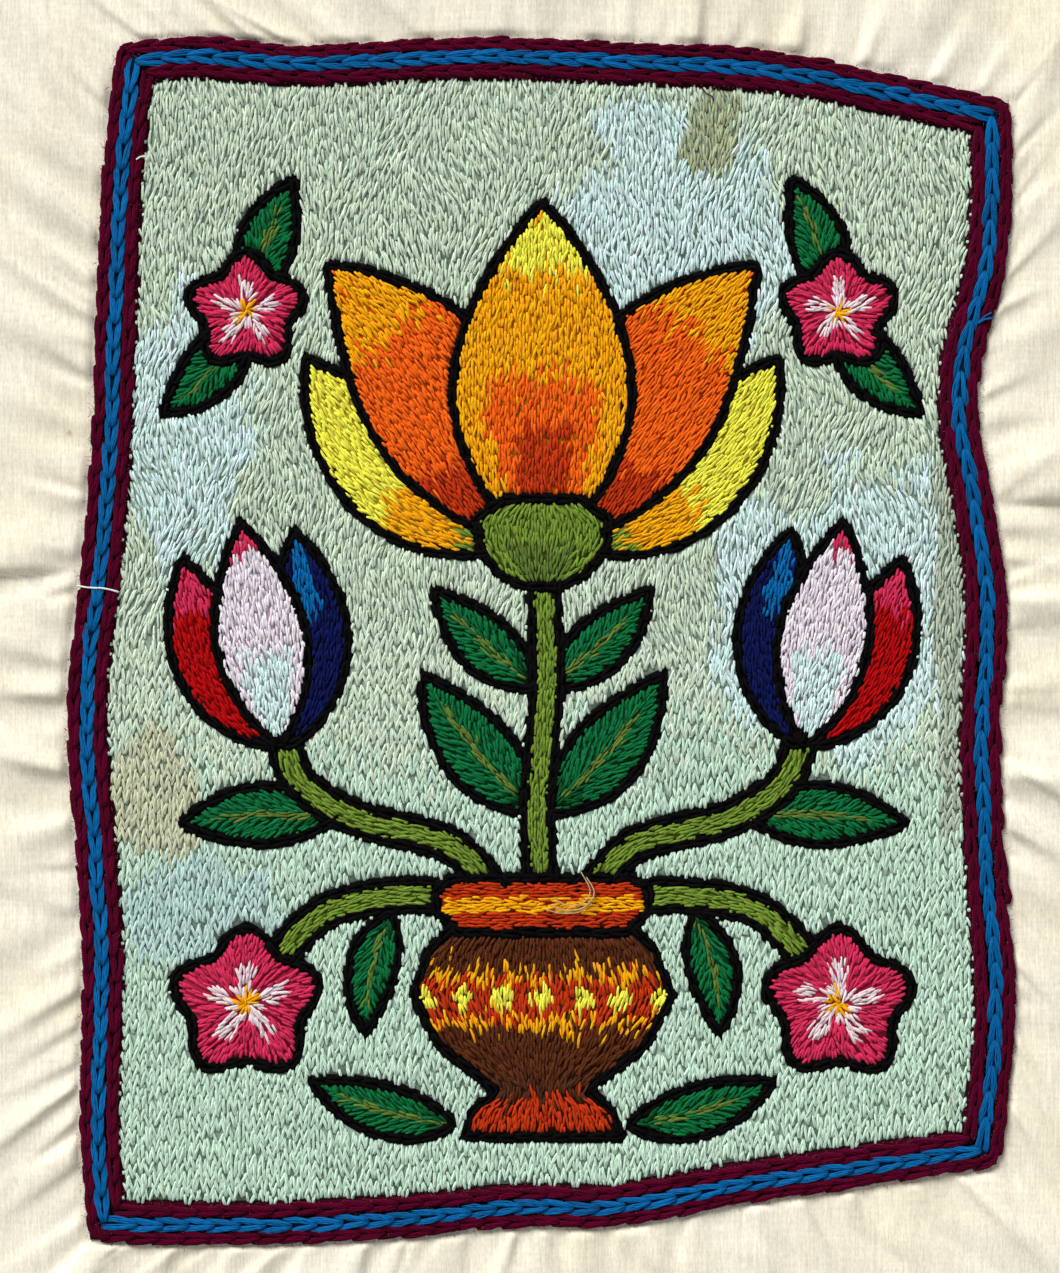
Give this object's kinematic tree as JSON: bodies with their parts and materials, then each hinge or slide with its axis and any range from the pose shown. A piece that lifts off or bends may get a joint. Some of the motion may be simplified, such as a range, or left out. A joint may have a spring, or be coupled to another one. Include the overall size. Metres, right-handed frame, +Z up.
{
  "type": "embroidered tapestry panel",
  "caption": "Cream cotton cloth lying face up, puckered round a hand-stitched picture of a vase of flowers inside a maroon and blue chain-stitch border.",
  "frame": {"origin": "on the underside, at the middle of the cloth", "axes": "+X to the picture's right, +Y to its top, +Z up out of its face"},
  "size_m": [0.3, 0.36, 0.004],
  "materials": {
    "cream_cotton": "matt plain-weave cotton",
    "maroon_wool": "soft, slightly hairy stitching yarn",
    "blue_floss": "smooth six-strand cotton floss",
    "mint_floss": "two-strand cotton floss",
    "black_floss": "cotton floss",
    "rust_floss": "cotton floss",
    "brown_floss": "cotton floss",
    "olive_floss": "cotton floss",
    "gold_floss": "cotton floss",
    "orange_floss": "cotton floss",
    "lemon_floss": "cotton floss",
    "lavender_floss": "cotton floss",
    "navy_floss": "cotton floss",
    "red_floss": "cotton floss",
    "pink_floss": "cotton floss",
    "emerald_floss": "cotton floss"
  },
  "bodies": {
    "root": {"cloth": "cream_cotton", "border_outer_row": "maroon_wool", "border_middle_row": "blue_floss", "border_inner_row": "maroon_wool", "stitched_ground": "mint_floss", "outline_rows": "black_floss", "outline_rows_2": "black_floss", "outline_rows_3": "black_floss", "pot_rim": "rust_floss", "pot_body": "brown_floss", "bloom_calyx": "olive_floss", "bloom_heart": "gold_floss", "right_bloom_inner_petal": "orange_floss", "left_bloom_inner_petal": "orange_floss", "right_bloom_outer_petal": "lemon_floss", "left_bloom_outer_petal": "lemon_floss", "right_tulip_heart": "lavender_floss", "left_tulip_heart": "lavender_floss", "right_tulip_inner_petal": "navy_floss", "left_tulip_inner_petal": "navy_floss", "right_tulip_outer_petal": "red_floss", "left_tulip_outer_petal": "red_floss", "right_low_rosette": "pink_floss", "left_low_rosette": "pink_floss", "right_sprig_rosette": "pink_floss", "left_sprig_rosette": "pink_floss", "middle_stem": "olive_floss", "right_tulip_stem": "olive_floss", "left_tulip_stem": "olive_floss", "right_rosette_stem": "olive_floss", "left_rosette_stem": "olive_floss", "right_middle_leaf": "emerald_floss", "left_middle_leaf": "emerald_floss", "right_upper_leaf": "emerald_floss", "left_upper_leaf": "emerald_floss", "right_side_leaf": "emerald_floss", "left_side_leaf": "emerald_floss", "right_low_leaf": "emerald_floss", "left_low_leaf": "emerald_floss", "right_foot_leaf": "emerald_floss", "left_foot_leaf": "emerald_floss", "right_sprig_upper_leaf": "emerald_floss", "left_sprig_upper_leaf": "emerald_floss", "right_sprig_lower_leaf": "emerald_floss", "left_sprig_lower_leaf": "emerald_floss"}
  },
  "joints": []
}
